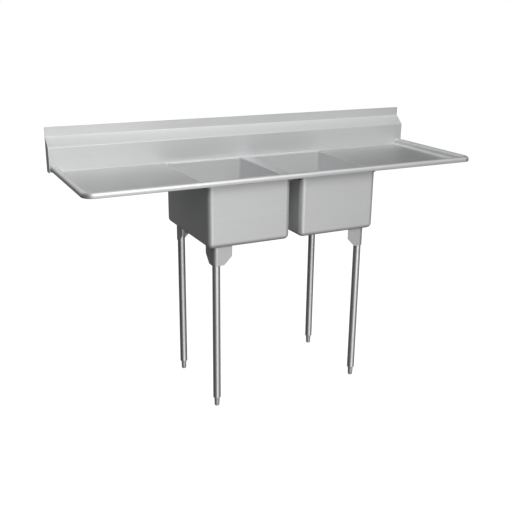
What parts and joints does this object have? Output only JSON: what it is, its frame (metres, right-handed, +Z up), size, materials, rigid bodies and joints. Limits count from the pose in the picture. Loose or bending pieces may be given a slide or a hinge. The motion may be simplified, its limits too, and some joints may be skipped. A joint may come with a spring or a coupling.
{
  "type": "two-bowl commercial sink",
  "caption": "Free-standing stainless sink: square pressed bowls side by side, a flat drainboard at each end, rolled rim, stepped backsplash and slim tube legs on screw feet.",
  "frame": {"origin": "centre of the footprint, on the floor under the feet", "axes": "+X along the length to the right as a user faces it, +Y towards the wall, +Z up"},
  "size_m": [1.75, 0.5814, 1.141],
  "materials": {
    "bowl_steel": "satin drawn",
    "deck_steel": "satin, grain along the length",
    "rim_steel": "satin, polished bends",
    "splash_steel": "satin, grain along the length",
    "plate_steel": "satin with welded edges",
    "zinc": "dull zinc plate",
    "tube_steel": "satin, grain round the tube",
    "drain_steel": "bright polished",
    "rubber": "matt black",
    "fibre": "pressed fibre"
  },
  "bodies": {
    "sink": {"bowl_left": "bowl_steel", "bowl_right": "bowl_steel", "divider": "deck_steel", "rear_ledge": "deck_steel", "drainboard_left": "deck_steel", "drainboard_right": "deck_steel", "rim_front": "rim_steel", "rim_left": "rim_steel", "rim_right": "rim_steel", "rim_corner_left": "rim_steel", "rim_corner_right": "rim_steel", "backsplash": "splash_steel", "end_cap_left": "splash_steel", "end_cap_right": "splash_steel", "stiffener_left": "plate_steel", "stiffener_right": "plate_steel", "gusset_front_left": "plate_steel", "gusset_front_right": "plate_steel", "gusset_back_left": "plate_steel", "gusset_back_right": "plate_steel", "socket_front_left": "plate_steel", "socket_front_right": "plate_steel", "socket_back_left": "plate_steel", "socket_back_right": "plate_steel", "leg_set_screws": "zinc", "leg_front_left": "tube_steel", "leg_front_right": "tube_steel", "leg_back_left": "tube_steel", "leg_back_right": "tube_steel", "insert_front_left": "zinc", "insert_front_right": "zinc", "insert_back_left": "zinc", "insert_back_right": "zinc", "strainer_left": "drain_steel", "strainer_right": "drain_steel", "gasket_left": "rubber", "gasket_right": "rubber", "friction_washer_left": "fibre", "friction_washer_right": "fibre", "locknut_left": "zinc", "locknut_right": "zinc"},
    "foot_front_left": {"foot_front_left": "zinc"},
    "foot_front_right": {"foot_front_right": "zinc"},
    "foot_back_left": {"foot_back_left": "zinc"},
    "foot_back_right": {"foot_back_right": "zinc"},
    "basket_left": {"basket_left": "drain_steel"},
    "plug_left": {"pull_post_left": "drain_steel", "stopper_left": "rubber"},
    "basket_right": {"basket_right": "drain_steel"},
    "plug_right": {"pull_post_right": "drain_steel", "stopper_right": "rubber"}
  },
  "joints": [
    {"name": "foot_front_left_height", "type": "slide", "parent": "sink", "child": "foot_front_left", "axis": [0, 0, 1], "range_m": [-0.012, 0.012]},
    {"name": "foot_front_right_height", "type": "slide", "parent": "sink", "child": "foot_front_right", "axis": [0, 0, 1], "range_m": [-0.012, 0.012]},
    {"name": "foot_back_left_height", "type": "slide", "parent": "sink", "child": "foot_back_left", "axis": [0, 0, 1], "range_m": [-0.012, 0.012]},
    {"name": "foot_back_right_height", "type": "slide", "parent": "sink", "child": "foot_back_right", "axis": [0, 0, 1], "range_m": [-0.012, 0.012]},
    {"name": "basket_left_lift", "type": "slide", "parent": "sink", "child": "basket_left", "axis": [0, 0, 1], "range_m": [0, 0.3]},
    {"name": "plug_left_travel", "type": "slide", "parent": "basket_left", "child": "plug_left", "axis": [0, 0, 1], "range_m": [-0.0142, 0]},
    {"name": "basket_right_lift", "type": "slide", "parent": "sink", "child": "basket_right", "axis": [0, 0, 1], "range_m": [0, 0.3]},
    {"name": "plug_right_travel", "type": "slide", "parent": "basket_right", "child": "plug_right", "axis": [0, 0, 1], "range_m": [-0.0142, 0]}
  ]
}
